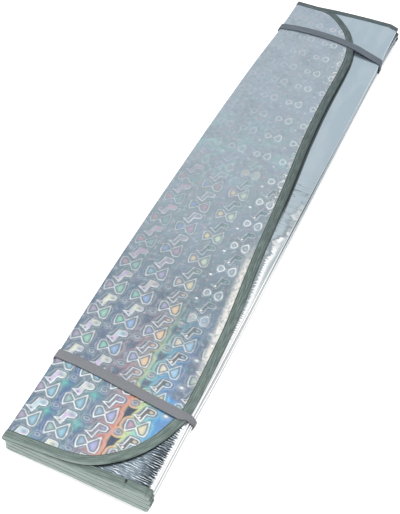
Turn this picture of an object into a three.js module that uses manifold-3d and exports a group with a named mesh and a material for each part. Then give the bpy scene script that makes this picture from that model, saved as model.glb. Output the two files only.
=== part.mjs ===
// Windscreen sunshade, folded like an accordion and held by two elastic bands.
// Millimetres. +X across the stack (towards the rounded side), +Y along it, +Z up.
import * as THREE from "three";
import Module from "manifold-3d";

const wasm = await Module();
wasm.setup();
const { Manifold, CrossSection } = wasm;

// Overall size of the folded stack
const STACK_LENGTH = 800;
const STACK_WIDTH = 130;
const PANELS = 10;
const PITCH = 2.4;

// Laminated foil sheet
const SHEET = 1.4;

// Binding tape folded over the sheet's edge
const TAPE = 0.3;
const TAPE_WIDTH = 9;
const TAPE_FIT = 0.1;
const TAPE_LAP_FROM = 43;
const TAPE_LAP_TO = 61;

// Elastic bands
const BAND = 1.0;
const BAND_WIDTH = 12;
const BAND_FIT = 0.2;
const BAND_LAP = 0.8;
const BAND_LAP_LOW = 6;
const BAND_LAP_HIGH = 19;

// Unevenness of the hand-folded stack, from its top fold down. The sheet's ends are longer at
// the right folds, and stand back at the near end of the left folds.
const NEAR_GROWTH = [4, 4, 4, 4];
const FAR_GROWTH = [12, 7, 5, 2];
const NEAR_SETBACK = [0, 4.5, 6, 7, 8];
const FAR_GROWTH_SHAPE = [[-1, 0], [-0.2, 0.69], [0.88, 1], [1, 0.67]];

// How far each right fold stands out along its length, at shares of the half length
const REACH_PLACES = [-1, -0.8, -0.6, 0, 0.8, 1];
const RIGHT_REACH = [
  [0.5, 0.5, 1, 0.5, 0, -0.5],
  [1.5, 1.5, 3, 1.5, -0.3, 2],
  [2, 2, 3.5, 1.5, -0.5, 2.7],
  [0.5, 0.5, 2, 0.5, -0.5, 1.4],
];

// The left folds bow out between the bands, here at shares of the half length
const LEFT_BOW = [
  [-0.8, 0], [-0.6, 2.5], [-0.4, 4.1], [-0.2, 4.8], [0, 4.9],
  [0.2, 4.8], [0.4, 4.1], [0.6, 2.8], [0.8, 0],
];

// Points below are for a stack of this size, and follow the stack's own
const DRAWN_LENGTH = 800;
const DRAWN_WIDTH = 130;
const sized = ([x, y]) => [x * (STACK_WIDTH / DRAWN_WIDTH), y * (STACK_LENGTH / DRAWN_LENGTH)];

// Outer edge of the two end panels, from far left to near left
const END_OUTLINE = [
  [-40, 401], [-20, 397.5], [-4, 385], [11, 366], [19, 352], [24.5, 338],
  [29.5, 322], [32.5, 305], [34.4, 285], [35.4, 255], [35.8, 215], [37, 165],
  [40, 105], [44.6, 45], [49, -20], [53.2, -90], [58, -150], [61.8, -200],
  [63.6, -250], [64.4, -290], [63.6, -312], [59.5, -329], [54, -345.5], [47, -360],
  [37.5, -373.5], [27, -384], [17, -391.5], [6, -396.8], [-8, -399.5], [-24, -401],
].map(sized);

// Centre line of each band's upper run in plan, from left to right
const NEAR_BAND_PATH = [
  [-70, -294.4], [-45, -296.2], [-20, -300], [5, -304.8], [30, -309.6], [50, -313.4], [75, -318.6],
].map(sized);
const FAR_BAND_PATH = [
  [-70, 328], [-50, 333.4], [-30, 336], [-10, 336], [10, 333.6], [30, 328.2], [50, 320.8], [75, 311],
].map(sized);

// Y of each band's lower run at its left and right ends
const NEAR_BAND_UNDER = [-294.4, -300].map((y) => sized([0, y])[1]);
const FAR_BAND_UNDER = [328, 328].map((y) => sized([0, y])[1]);

// Sizes that follow
const BOUND = SHEET / 2 + TAPE_FIT + TAPE;
const TAPE_INSIDE = SHEET / 2 + TAPE_FIT;
const BEND = PITCH / 2;
const ARC_X = STACK_WIDTH / 2 - BEND - BOUND;
const LOWEST_PANEL = BAND + BAND_FIT + BOUND;
const HALF_LENGTH = STACK_LENGTH / 2;
const ARC_STEPS = 8;
const LENGTH_STEPS = 10;
const BEYOND = 40;

function panelZ(panel) {
  return LOWEST_PANEL + (PANELS - 1 - panel) * PITCH;
}

// Value at a place along a line of [place, value] points
function along(points, place) {
  const last = points.length - 1;
  if (place <= points[0][0]) return points[0][1];
  if (place >= points[last][0]) return points[last][1];
  const i = points.findIndex(([at]) => at > place);
  const [[a, from], [b, to]] = [points[i - 1], points[i]];
  return THREE.MathUtils.lerp(from, to, (place - a) / (b - a));
}

// Cross-section of the folded layer, as a band of the given half thickness
// round the accordion's centre line. Panel 0 is on top.
function foldProfile(half) {
  const right = STACK_WIDTH / 2 + BEYOND;
  const bends = FAR_GROWTH_SHAPE.slice(1, -1).map(([share]) => share * ARC_X);
  const acrossPanel = (panel) => {
    const up = panel % 2 === 0 ? -1 : 1;
    const xs = panel % 2 === 0 ? bends.slice().reverse() : bends;
    return xs.map((x) => [x, panelZ(panel), 0, up]);
  };
  const stations = [[right, panelZ(0), 0, -1]];
  for (let panel = 0; panel < PANELS - 1; panel++) {
    stations.push(...acrossPanel(panel));
    const side = panel % 2 === 0 ? -1 : 1;
    const centreZ = panelZ(panel) - BEND;
    for (let step = 0; step <= ARC_STEPS; step++) {
      const angle = Math.PI / 2 - (step / ARC_STEPS) * Math.PI;
      const outX = side * Math.cos(angle);
      const outZ = Math.sin(angle);
      stations.push([side * ARC_X + BEND * outX, centreZ + BEND * outZ, side * outX, side * outZ]);
    }
  }
  stations.push(...acrossPanel(PANELS - 1));
  stations.push([right, panelZ(PANELS - 1), 0, 1]);
  const there = stations.map(([x, z, nx, nz]) => [x + half * nx, z + half * nz]);
  const back = stations.map(([x, z, nx, nz]) => [x - half * nx, z - half * nz]).reverse();
  return there.concat(back);
}

// Which panel a height belongs to
function panelAt(z) {
  const panel = Math.round((panelZ(0) - z) / PITCH);
  return Math.min(PANELS - 1, Math.max(0, panel));
}

// Which right fold a panel ends at, or -1 for the two end panels
function rightFold(panel) {
  return panel > 0 && panel < PANELS - 1 ? Math.floor((panel - 1) / 2) : -1;
}

function shareFromLeft(x) {
  return THREE.MathUtils.clamp((x + ARC_X) / (2 * ARC_X), 0, 1);
}

// How far a point near an end of the stack moves along Y
function endShift(x, y, panel) {
  const fromLeft = shareFromLeft(x);
  const blend = (distance) => THREE.MathUtils.clamp((distance - 0.86 * HALF_LENGTH) / 40, 0, 1);
  const setback = NEAR_SETBACK[Math.floor(panel / 2)] * (1 - fromLeft);
  const fold = rightFold(panel);
  const nearGrowth = fold < 0 ? 0 : NEAR_GROWTH[fold] * fromLeft;
  const farGrowth = fold < 0 ? 0 : FAR_GROWTH[fold] * along(FAR_GROWTH_SHAPE, x / ARC_X);
  return blend(-y) * (setback - nearGrowth) + blend(y) * farGrowth;
}

// How far a right fold stands out along X at this Y
function foldReach(fold, y) {
  if (fold < 0) return 0;
  return along(REACH_PLACES.map((place, i) => [place, RIGHT_REACH[fold][i]]), y / HALF_LENGTH);
}

// How far the left folds stand out at this Y
function leftBow(y) {
  return along(LEFT_BOW, y / HALF_LENGTH);
}

function shiftedPlan(points, panel) {
  return points.map(([x, y]) => [x, y + endShift(x, y, panel)]);
}

// A profile in X and Z, drawn out along Y from -halfLength to halfLength
function alongY(profile, halfLength) {
  return new CrossSection([profile], "NonZero")
    .extrude(2 * halfLength, LENGTH_STEPS)
    .rotate([90, 0, 0])
    .translate([0, halfLength, 0]);
}

// Plan of an end panel, inset from its curved outer edge and open elsewhere
function endPlan(inset, panel) {
  const curve = new THREE.SplineCurve(END_OUTLINE.map(([x, y]) => new THREE.Vector2(x, y)));
  const edge = curve.getPoints(72).map((p) => [p.x, p.y]);
  const left = -STACK_WIDTH / 2 - BEYOND;
  const first = edge[0][0];
  const last = edge[edge.length - 1][0];
  const open = HALF_LENGTH + BEYOND;
  const plan = [[left, open], [first, open], ...edge, [last, -open], [left, -open]].reverse();
  const section = new CrossSection([plan], "NonZero").offset(-inset, "Round", 2, 48);
  return new CrossSection(section.toPolygons().map((ring) => shiftedPlan(ring, panel)), "NonZero");
}

// Plan between straight ends
function straightPlan(reach, panel) {
  const bends = FAR_GROWTH_SHAPE.map(([share]) => share * ARC_X);
  const xs = [-STACK_WIDTH, ...bends, STACK_WIDTH];
  const near = xs.map((x) => [x, -reach]);
  const far = xs.map((x) => [x, reach]).reverse();
  return new CrossSection([shiftedPlan(near.concat(far), panel)], "NonZero");
}

// The folded layer with both end panels cut to their outline
function foldedLayer(half, inset) {
  const whole = alongY(foldProfile(half), HALF_LENGTH - inset).warp((point) => {
    const [x, y, z] = point;
    const panel = panelAt(z);
    const fromLeft = shareFromLeft(x);
    point[0] = x + fromLeft * foldReach(rightFold(panel), y) - (1 - fromLeft) * leftBow(y);
    point[1] = y + endShift(x, y, panel);
  });
  const open = HALF_LENGTH + BEYOND / 2;
  const waste = [0, PANELS - 1].map((panel) => {
    const block = CrossSection.square([STACK_WIDTH + BEYOND, 2 * open]).translate([-ARC_X, -open]);
    return block.subtract(endPlan(inset, panel)).extrude(PITCH).translate([0, 0, panelZ(panel) - BEND]);
  });
  return whole.subtract(Manifold.union(waste));
}

function foldedSheet() {
  return foldedLayer(SHEET / 2, TAPE + TAPE_FIT);
}

// Everything further from the edge than the tape reaches
function insideTape() {
  const pieces = [];
  for (let panel = 0; panel < PANELS; panel++) {
    const isEnd = panel === 0 || panel === PANELS - 1;
    const straight = straightPlan(HALF_LENGTH - TAPE_WIDTH, panel);
    const plan = isEnd ? straight.intersect(endPlan(TAPE_WIDTH, panel)) : straight;
    pieces.push(plan.extrude(PITCH).translate([0, 0, panelZ(panel) - BEND]));
  }
  return Manifold.union(pieces);
}

// Lapped end of the tape, on panel 2's near edge
function tapeLap() {
  const panel = 1;
  const outer = -HALF_LENGTH - TAPE;
  const inner = -HALF_LENGTH + TAPE_WIDTH - 0.5;
  const plan = [
    [TAPE_LAP_FROM, outer], [TAPE_LAP_TO, outer],
    [TAPE_LAP_TO, inner], [TAPE_LAP_FROM, inner],
  ];
  const low = panelZ(panel);
  return new CrossSection([shiftedPlan(plan, panel)], "NonZero")
    .extrude(BOUND + TAPE)
    .translate([0, 0, low]);
}

// The one real body of a solid, without slivers that a subtraction leaves
function mainBody(solid) {
  return solid.decompose().sort((a, b) => b.volume() - a.volume())[0];
}

function edgeBinding() {
  const outside = foldedLayer(BOUND, 0).add(tapeLap());
  const inside = foldedLayer(TAPE_INSIDE, TAPE);
  return mainBody(outside.subtract(inside).subtract(insideTape()));
}

// Tight loop round the stack over a stretch of Y, standing off by the given distance
function wrapSection(edgeX, y0, y1, offset) {
  const round = (x, z, radius) => CrossSection.circle(radius + offset, 48).translate([x, z]);
  const sheetOut = BEND + SHEET / 2;
  const top = panelZ(0) + BOUND;
  const bottom = panelZ(PANELS - 1) - BOUND;
  const left = -ARC_X - Math.max(leftBow(y0), leftBow(y1));
  const corners = [
    round(left, panelZ(0) - BEND, sheetOut),
    round(left, panelZ(PANELS - 1) + BEND, sheetOut),
    round(edgeX, top, 0),
    round(edgeX, bottom, 0),
    round(left, bottom, 0),
  ];
  RIGHT_REACH.forEach((_, fold) => {
    const reach = Math.max(foldReach(fold, y0), foldReach(fold, y1));
    corners.push(round(ARC_X + reach, panelZ(2 * fold + 1) - BEND, sheetOut));
  });
  return CrossSection.hull(corners);
}

// Furthest reach of the end panels over a stretch of Y
function edgeReach(y0, y1) {
  const near = END_OUTLINE.filter(([, y]) => y >= y0 - 12 && y <= y1 + 12);
  return Math.max(...near.map(([x]) => x));
}

// An elastic loop. Its upper run follows the path, and its lower run goes straight across.
function elasticBand(path, [underLeft, underRight]) {
  const ys = path.map(([, y]) => y);
  const low = Math.min(...ys) - BAND_WIDTH / 2;
  const high = Math.max(...ys) + BAND_WIDTH / 2;
  const edgeX = edgeReach(low, high);
  const outer = wrapSection(edgeX, low, high, BAND_FIT + BAND);
  const inner = wrapSection(edgeX, low, high, BAND_FIT);
  const leftX = outer.bounds().min[0];
  const lap = CrossSection.square([BAND_LAP + 0.3, BAND_LAP_HIGH - BAND_LAP_LOW])
    .translate([leftX - BAND_LAP, BAND_LAP_LOW]);
  const ring = outer.add(lap).subtract(inner);
  const loop = ring.extrude(high - low + 2 * BEYOND)
    .rotate([90, 0, 0])
    .translate([0, high + BEYOND, 0]);
  const curve = new THREE.SplineCurve(path.map(([x, y]) => new THREE.Vector2(x, y)));
  const line = curve.getPoints(28).map((p) => [p.x, p.y]);
  const right = line.map(([x, y]) => [x, y - BAND_WIDTH / 2]);
  const left = line.map(([x, y]) => [x, y + BAND_WIDTH / 2]).reverse();
  const under = [[path[0][0], underLeft], [ARC_X, underRight]];
  const height = outer.bounds().max[1];
  const strip = new CrossSection([right.concat(left)], "NonZero")
    .extrude(3 * height)
    .translate([0, 0, -height])
    .warp((point) => {
      const [x, y, z] = point;
      point[1] = y + (1 - z / height) * (along(under, x) - along(line, x));
    });
  return loop.intersect(strip);
}

// Pieces, with their footprint centred on the origin and the lowest face at Z = 0
const solids = {
  folded_sheet: foldedSheet(),
  edge_binding: edgeBinding(),
  near_elastic_band: elasticBand(NEAR_BAND_PATH, NEAR_BAND_UNDER),
  far_elastic_band: elasticBand(FAR_BAND_PATH, FAR_BAND_UNDER),
};
const materials = {
  folded_sheet: { color: 0xb9c6cf, metalness: 0.9, roughness: 0.25 },
  edge_binding: { color: 0x76857e, metalness: 0, roughness: 0.9 },
  near_elastic_band: { color: 0x8a858a, metalness: 0, roughness: 0.9 },
  far_elastic_band: { color: 0x8a858a, metalness: 0, roughness: 0.9 },
};

const boxes = Object.values(solids).map((solid) => solid.boundingBox());
const least = [0, 1, 2].map((axis) => Math.min(...boxes.map((box) => box.min[axis])));
const most = [0, 1, 2].map((axis) => Math.max(...boxes.map((box) => box.max[axis])));
const move = [-(least[0] + most[0]) / 2, -(least[1] + most[1]) / 2, -least[2]];

const group = new THREE.Group();
group.name = "windscreen_sunshade";
for (const [name, solid] of Object.entries(solids)) {
  const { vertProperties, triVerts, numProp } = solid.translate(move).getMesh();
  const positions = new Float32Array((vertProperties.length / numProp) * 3);
  for (let i = 0; i < positions.length / 3; i++) {
    positions.set(vertProperties.subarray(i * numProp, i * numProp + 3), i * 3);
  }
  const geometry = new THREE.BufferGeometry();
  geometry.setAttribute("position", new THREE.BufferAttribute(positions, 3));
  geometry.setIndex(new THREE.BufferAttribute(triVerts, 1));
  geometry.computeVertexNormals();
  const mesh = new THREE.Mesh(geometry, new THREE.MeshStandardMaterial(materials[name]));
  mesh.name = name;
  group.add(mesh);
}

export default group;
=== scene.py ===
# %% [markdown]
# # A folded windscreen sunshade
#
# The sunshade is one long laminated foil sheet, folded like an accordion. One face is plain silver
# and the other carries a pattern that splits light into colours. A fabric tape binds its edge, and
# two elastic bands hold the stack. The lesson folds a flat sheet in code, sews a tape along its
# edge, wraps the bands and paints all of it with node materials. Lengths below are in millimetres
# unless a name says otherwise.

# %% Load the frame
import math
from types import SimpleNamespace

import bmesh
import bpy
from mathutils import Euler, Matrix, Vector


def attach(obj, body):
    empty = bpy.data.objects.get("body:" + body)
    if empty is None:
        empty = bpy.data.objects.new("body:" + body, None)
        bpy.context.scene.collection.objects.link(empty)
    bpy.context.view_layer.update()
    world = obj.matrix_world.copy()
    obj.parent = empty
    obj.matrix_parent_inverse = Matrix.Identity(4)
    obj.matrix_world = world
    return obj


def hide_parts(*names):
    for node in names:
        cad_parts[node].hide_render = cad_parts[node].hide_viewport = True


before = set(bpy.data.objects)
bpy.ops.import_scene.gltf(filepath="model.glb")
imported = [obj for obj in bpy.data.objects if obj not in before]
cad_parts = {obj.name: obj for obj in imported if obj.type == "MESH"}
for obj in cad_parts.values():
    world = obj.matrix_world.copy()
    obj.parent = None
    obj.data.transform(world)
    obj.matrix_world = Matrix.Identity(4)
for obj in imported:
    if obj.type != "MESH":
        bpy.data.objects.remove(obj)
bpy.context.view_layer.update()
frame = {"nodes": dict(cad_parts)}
print("nodes:", ", ".join(frame["nodes"]))

# %% [markdown]
# ## Sizes shared with the solid model
#
# The solid model fixes the size of the stack, and the visual model keeps to it. The folds are half
# circles, so the sheet keeps its length while it turns.

# %% Sizes
MM = 0.001
PANELS = 10
PITCH = 2.4  # from one panel to the next
SHEET = 1.4  # thickness of the foil sheet
BOUND = 1.1  # half the thickness of the bound edge
HALF_WIDTH = 65
HALF_LENGTH = 400
TOP_Z = 23.9  # middle of the top panel
MOVE = (0.576, -3.877)  # puts the middle of the stack at the origin

BEND = PITCH / 2
ARC_X = HALF_WIDTH - BEND - BOUND
STRAIGHT = 2 * ARC_X
ARC = math.pi * BEND
STEP = STRAIGHT + ARC
print("stack of", PANELS, "panels, each", round(STEP, 1), "mm of sheet")

# %% [markdown]
# ## Numbers and lines
#
# A handful of plain functions serve all the shapes: limits, mixes and soft steps for numbers, and
# smooth lines through a few points.

# %% Helpers for numbers
def clamp(value, low=0.0, high=1.0):
    return max(low, min(high, value))


def mix(a, b, t):
    return a + (b - a) * t


def smooth(low, high, value):
    """A soft step from 0 at low to 1 at high."""
    t = clamp((value - low) / (high - low))
    return t * t * (3 - 2 * t)


print("soft step at a quarter:", smooth(0, 1, 0.25))


# %% Helpers for lines
def along(points, place):
    """Value at a place along a line of (place, value) points, eased so that it has no corners."""
    if place <= points[0][0] or place >= points[-1][0]:
        return points[0 if place <= points[0][0] else -1][1]
    i = max(k for k, point in enumerate(points) if point[0] <= place)
    slopes = []
    for k in (i, i + 1):
        (a, low), (b, high) = points[max(k - 1, 0)], points[min(k + 1, len(points) - 1)]
        slopes.append((high - low) / (b - a))
    (a, start), (b, end) = points[i], points[i + 1]
    t, span = (place - a) / (b - a), b - a
    return (start * (1 + 2 * t) * (1 - t) ** 2 + end * t * t * (3 - 2 * t)
            + span * t * (1 - t) * (slopes[0] * (1 - t) - slopes[1] * t))


def spline(points, pieces=8):
    """A smooth line through the points."""
    line = []
    last = len(points) - 1
    for i in range(last):
        p0, p1, p2, p3 = (Vector(points[min(max(j, 0), last)]) for j in (i - 1, i, i + 1, i + 2))
        for k in range(pieces):
            t = k / pieces
            line.append(0.5 * (2 * p1 + (p2 - p0) * t + (2 * p0 - 5 * p1 + 4 * p2 - p3) * t * t
                               + (3 * p1 - p0 - 3 * p2 + p3) * t ** 3))
    return [(p[0], p[1]) for p in line] + [tuple(points[last])]


print("a spline makes", len(spline([(0, 0), (1, 2), (3, 1)])), "points of three")

# %% [markdown]
# ## Folding
#
# The panels are parts of one sheet, so ten separate boxes would show gaps at the folds. Instead a
# point of the flat sheet has a place `s` along its width, a place `y` along its length and a height
# `h` over its middle layer, and `fold` bends that point into the stack. The tape goes through the
# same function later, so it always fits the sheet. Even panels run to the left, odd panels back to
# the right.

# %% Place in an even stack
def place_in_stack(s):
    """Panel, X, height and outward direction at a place along the flat sheet."""
    panel = int(clamp(math.floor(s / STEP), 0, PANELS - 1))
    run = s - panel * STEP
    side = -1 if panel % 2 == 0 else 1
    z = TOP_Z - panel * PITCH
    if run <= STRAIGHT or panel == PANELS - 1:
        return panel, side * (run - ARC_X), z, (0, -side)
    angle = math.pi / 2 - (run - STRAIGHT) / BEND
    out = (side * math.cos(angle), math.sin(angle))
    return panel, side * ARC_X + BEND * out[0], z - BEND + BEND * out[1], (-side * out[0], -side * out[1])


def share_from_left(x):
    """0 at the left folds and 1 at the right ones."""
    return clamp((x + ARC_X) / (2 * ARC_X))


print("the sheet starts at X", round(place_in_stack(0)[1], 1), "mm")

# %% [markdown]
# A stack folded by hand is never even. The left folds bow out together at mid length, and each right
# fold stands out by its own amount. Both are short lists of distances at places from the near end,
# -1, to the far end, 1. The bow also makes the flat sheet wider there, which its texture places take
# into account.

# %% Uneven folds
REACH_PLACES = [-1, -0.8, -0.6, 0, 0.8, 1]
RIGHT_REACH = [
    [0.5, 0.5, 1, 0.5, 0, -0.5],
    [1.5, 1.5, 3, 1.5, -0.3, 2],
    [2, 2, 3.5, 1.5, -0.5, 2.7],
    [0.5, 0.5, 2, 0.5, -0.5, 1.4],
]
LEFT_BOW = [
    (-0.8, 0), (-0.6, 2.5), (-0.4, 4.1), (-0.2, 4.8), (0, 4.9),
    (0.2, 4.8), (0.4, 4.1), (0.6, 2.8), (0.8, 0),
]


def fold_reach(number, y):
    """How far a right fold stands out at this Y."""
    return along(list(zip(REACH_PLACES, RIGHT_REACH[number])), y / HALF_LENGTH)


def left_bow(y):
    """How far the left folds stand out at this Y."""
    return along(LEFT_BOW, y / HALF_LENGTH)


def fold(s, y, h):
    """A point of the flat sheet, bent into the stack, in metres."""
    panel, x, z, (nx, nz) = place_in_stack(s)
    from_left = share_from_left(x)
    if 0 < panel < PANELS - 1:
        x += from_left * fold_reach((panel - 1) // 2, y)
    x -= (1 - from_left) * left_bow(y)
    return (x + h * nx + MOVE[0]) * MM, (y + MOVE[1]) * MM, (z + h * nz) * MM


def flat_place(s, y):
    """The same point on the flat material, which is a little wider where the folds bow out."""
    panel, x, _, _ = place_in_stack(s)
    passed = share_from_left(x) if panel % 2 else 1 - share_from_left(x)
    return s + (panel + passed) * left_bow(y), y


print("left folds stand out by", left_bow(0), "mm at mid length")

# %% [markdown]
# The ends don't line up either. At the near end the lower panels stand back on their left and out
# on their right, and at the far end they stand out. The shift grows over the last stretch of each
# panel.

# %% Uneven ends
END_START = 344
END_RUN = 40
NEAR_GROWTH = [4, 4, 4, 4]
NEAR_SETBACK = [0, 4.5, 6, 7, 8]
FAR_GROWTH = [12, 7, 5, 2]
FAR_GROWTH_SHAPE = [(-1, 0), (-0.2, 0.69), (0.88, 1), (1, 0.67)]


def end_shift(s, y):
    """How far an end of the sheet stands out or back at this place."""
    panel, x, _, _ = place_in_stack(s)
    if (s - panel * STEP) > STRAIGHT + ARC / 2 and panel < PANELS - 1:
        panel += 1
    from_left = share_from_left(x)
    near = clamp((-y - END_START) / END_RUN)
    far = clamp((y - END_START) / END_RUN)
    shift = near * NEAR_SETBACK[panel // 2] * (1 - from_left)
    if 0 < panel < PANELS - 1:
        number = (panel - 1) // 2
        shift -= near * NEAR_GROWTH[number] * from_left
        shift += far * FAR_GROWTH[number] * along(FAR_GROWTH_SHAPE, x / ARC_X)
    return shift


reach = end_shift(2 * STEP - ARC, HALF_LENGTH)
print("the second panel's far right corner stands out by", round(reach, 1), "mm")

# %% [markdown]
# ## Outline of the end panels
#
# The first and last panels are cut to a long curve with rounded corners, which fits the shade to the
# windscreen's sides. Points from the far left to the near left give the cut, and a spline joins them.

# %% End outline
END_OUTLINE = [
    (-40, 401), (-20, 397.5), (-4, 385), (11, 366), (19, 352), (24.5, 338),
    (29.5, 322), (32.5, 305), (34.4, 285), (35.4, 255), (35.8, 215), (37, 165),
    (40, 105), (44.6, 45), (49, -20), (53.2, -90), (58, -150), (61.8, -200),
    (63.6, -250), (64.4, -290), (63.6, -312), (59.5, -329), (54, -345.5), (47, -360),
    (37.5, -373.5), (27, -384), (17, -391.5), (6, -396.8), (-8, -399.5), (-24, -401),
]


def end_s(x, panel):
    """Place along the flat sheet of an X on the first panel or on one that runs to the right."""
    return ARC_X - x if panel == 0 else panel * STEP + x + ARC_X


outline = [p for p in spline(END_OUTLINE) if abs(p[1]) <= HALF_LENGTH]
widest = max(x for x, _ in outline)
print("end outline:", len(outline), "points, sheet opens to", round((PANELS - 1) * STEP + 2 * widest), "mm")

# %% [markdown]
# ## Edge of the flat sheet
#
# The edge is one closed line in the flat sheet. It goes along the first panel's curved outline,
# down the near end across every fold, along the last panel's outline, and back up the far end.

# %% Walk round the flat sheet's edge
PANEL_STEPS = 16
FOLD_STEPS = 8
CORNER_STEPS = 12


def fold_stations(first, last):
    """Places along the sheet between two panels' starts, close together on the folds."""
    stations = []
    for panel in range(first, last):
        start = panel * STEP
        stations += [start + STRAIGHT * k / PANEL_STEPS for k in range(PANEL_STEPS)]
        stations += [start + STRAIGHT + ARC * k / FOLD_STEPS for k in range(FOLD_STEPS)]
    return stations


def spread(start, end):
    """Even places from the start up to just before the end."""
    return [mix(start, end, k / CORNER_STEPS) for k in range(CORNER_STEPS)]


def edge_line():
    far_x, near_x = outline[0][0], outline[-1][0]
    last = (PANELS - 1) * STEP
    first_fold = [STRAIGHT + ARC * k / FOLD_STEPS for k in range(FOLD_STEPS)]
    folds = first_fold + fold_stations(1, PANELS - 1)
    near_end = spread(end_s(near_x, 0), STRAIGHT)[1:] + folds + spread(last, end_s(near_x, PANELS - 1))
    far_end = spread(end_s(far_x, PANELS - 1), last)[1:] + [last] + folds[::-1]
    far_end += spread(end_s(far_x, 0), STRAIGHT)[:0:-1]
    line = [(end_s(x, 0), y) for x, y in outline]
    line += [(s, -HALF_LENGTH) for s in near_end]
    line += [(end_s(x, PANELS - 1), y) for x, y in reversed(outline)]
    line += [(s, HALF_LENGTH) for s in far_end]
    return [(s, y + end_shift(s, y)) for s, y in line]


def lengths_round(points):
    """Distance along a closed line to each of its points, and back to the first."""
    lengths = [0.0]
    for start, end in zip(points, points[1:] + points[:1]):
        lengths.append(lengths[-1] + math.dist(start, end))
    return lengths


EDGE = edge_line()
print("edge line:", len(EDGE), "points,", round(lengths_round(EDGE)[-1]), "mm of tape")

# %% [markdown]
# ## Meshes
#
# Sheet, tape and bands are all rows of points swept along a line. One helper joins such rows with
# four-sided faces, smooth shading and a UV map that holds the flat material's places in metres, so
# that a pattern or a weave follows the material round every fold.

# %% Mesh helpers
def add_object(name, data):
    made = bpy.data.objects.new(name, data)
    bpy.context.scene.collection.objects.link(made)
    return made


def grid_mesh(name, rows, flats, close_rows=False, close_columns=False, faces_material=None):
    """A mesh from rows of points. The flats hold each point's place on the flat material."""
    count, width = len(rows), len(rows[0])
    points = [p for row in rows for p in row]
    faces, loops, slots = [], [], []
    for i in range(count if close_rows else count - 1):
        for j in range(width if close_columns else width - 1):
            a, b = i, (i + 1) % count
            c, d = j, (j + 1) % width
            faces.append((a * width + c, b * width + c, b * width + d, a * width + d))
            loops += [flats[i][j], flats[i + 1][j], flats[i + 1][j + 1], flats[i][j + 1]]
            slots.append(faces_material(i, j) if faces_material else 0)
    mesh = bpy.data.meshes.new(name)
    mesh.from_pydata(points, [], faces)
    layer = mesh.uv_layers.new(name="flat")
    layer.data.foreach_set("uv", [v * MM for uv in loops for v in uv])
    mesh.polygons.foreach_set("material_index", slots)
    mesh.polygons.foreach_set("use_smooth", [True] * len(faces))
    mesh.update()
    return add_object(name, mesh)


def close_ends(piece, walls):
    """Adds the walls that close a shell. Each is given by its corners' numbers."""
    made = bmesh.new()
    made.from_mesh(piece.data)
    made.verts.ensure_lookup_table()
    for wall in walls:
        made.faces.new([made.verts[i] for i in wall])
    bmesh.ops.recalc_face_normals(made, faces=made.faces)
    made.to_mesh(piece.data)
    made.free()


print("mesh helpers ready")

# %% [markdown]
# ## Foil sheet
#
# The real sheet is bubble foil with a printed film on one face and a bare metal film on the other.
# It is a closed shell here: a patterned face, a silver face and the thin wall between them. A cloth
# simulation could fold it too, but would not land on the measured folds. Small ripples lift the
# panels so that they don't look like plates. The sheet ends a little inside the tape.

# %% Cut of the sheet
SHEET_INSET = 1.2


def right_of(before, after):
    """Unit vector to the right of the way from one point to another."""
    x, y = after[0] - before[0], after[1] - before[1]
    size = math.hypot(x, y)
    return y / size, -x / size


def inset_outline(distance):
    """The end panels' outline, moved into the sheet by the distance."""
    made = []
    for i, (x, y) in enumerate(outline):
        in_x, in_y = right_of(outline[max(i - 1, 0)], outline[min(i + 1, len(outline) - 1)])
        made.append((x + distance * in_x, y + distance * in_y))
    return made


SHEET_EDGE = inset_outline(SHEET_INSET)
WIDEST = max(range(len(SHEET_EDGE)), key=lambda i: SHEET_EDGE[i][0])


def outline_y(x, points, fallback):
    """Y of a line of points at an X, or the fallback where the line doesn't pass."""
    for (x0, y0), (x1, y1) in zip(points, points[1:]):
        if min(x0, x1) <= x <= max(x0, x1) and x0 != x1:
            return mix(y0, y1, (x - x0) / (x1 - x0))
    return fallback


def sheet_ends(s):
    """Near and far Y of the sheet at a place along it."""
    panel, x, _, _ = place_in_stack(s)
    near, far = -HALF_LENGTH + SHEET_INSET, HALF_LENGTH - SHEET_INSET
    if panel in (0, PANELS - 1) and x > outline[-1][0]:
        near = max(near, outline_y(x, SHEET_EDGE[WIDEST:], near))
    if panel in (0, PANELS - 1) and x > outline[0][0]:
        far = min(far, outline_y(x, SHEET_EDGE[:WIDEST + 1], far))
    return near + end_shift(s, near), far + end_shift(s, far)


print("sheet reaches X", round(SHEET_EDGE[WIDEST][0], 1), "mm")

# %% Foil sheet
RIPPLE = 0.16
END_STEPS = 40
LENGTH_STEPS = 150
TIP_GAP = 0.05  # keeps the last row off the outline's very tip


def ripple(s, y):
    """Gentle swell of the panels, less near their ends."""
    panel, x, _, _ = place_in_stack(s)
    quiet = smooth(0, 30, HALF_LENGTH - abs(y)) * smooth(0, 20, ARC_X - abs(x))
    wave = math.sin(y / 31 + panel) * math.sin(x / 23 + y / 90)
    return RIPPLE * quiet * (wave + 0.6 * math.sin(y / 13.7 + x / 17 + 2 * panel))


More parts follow.
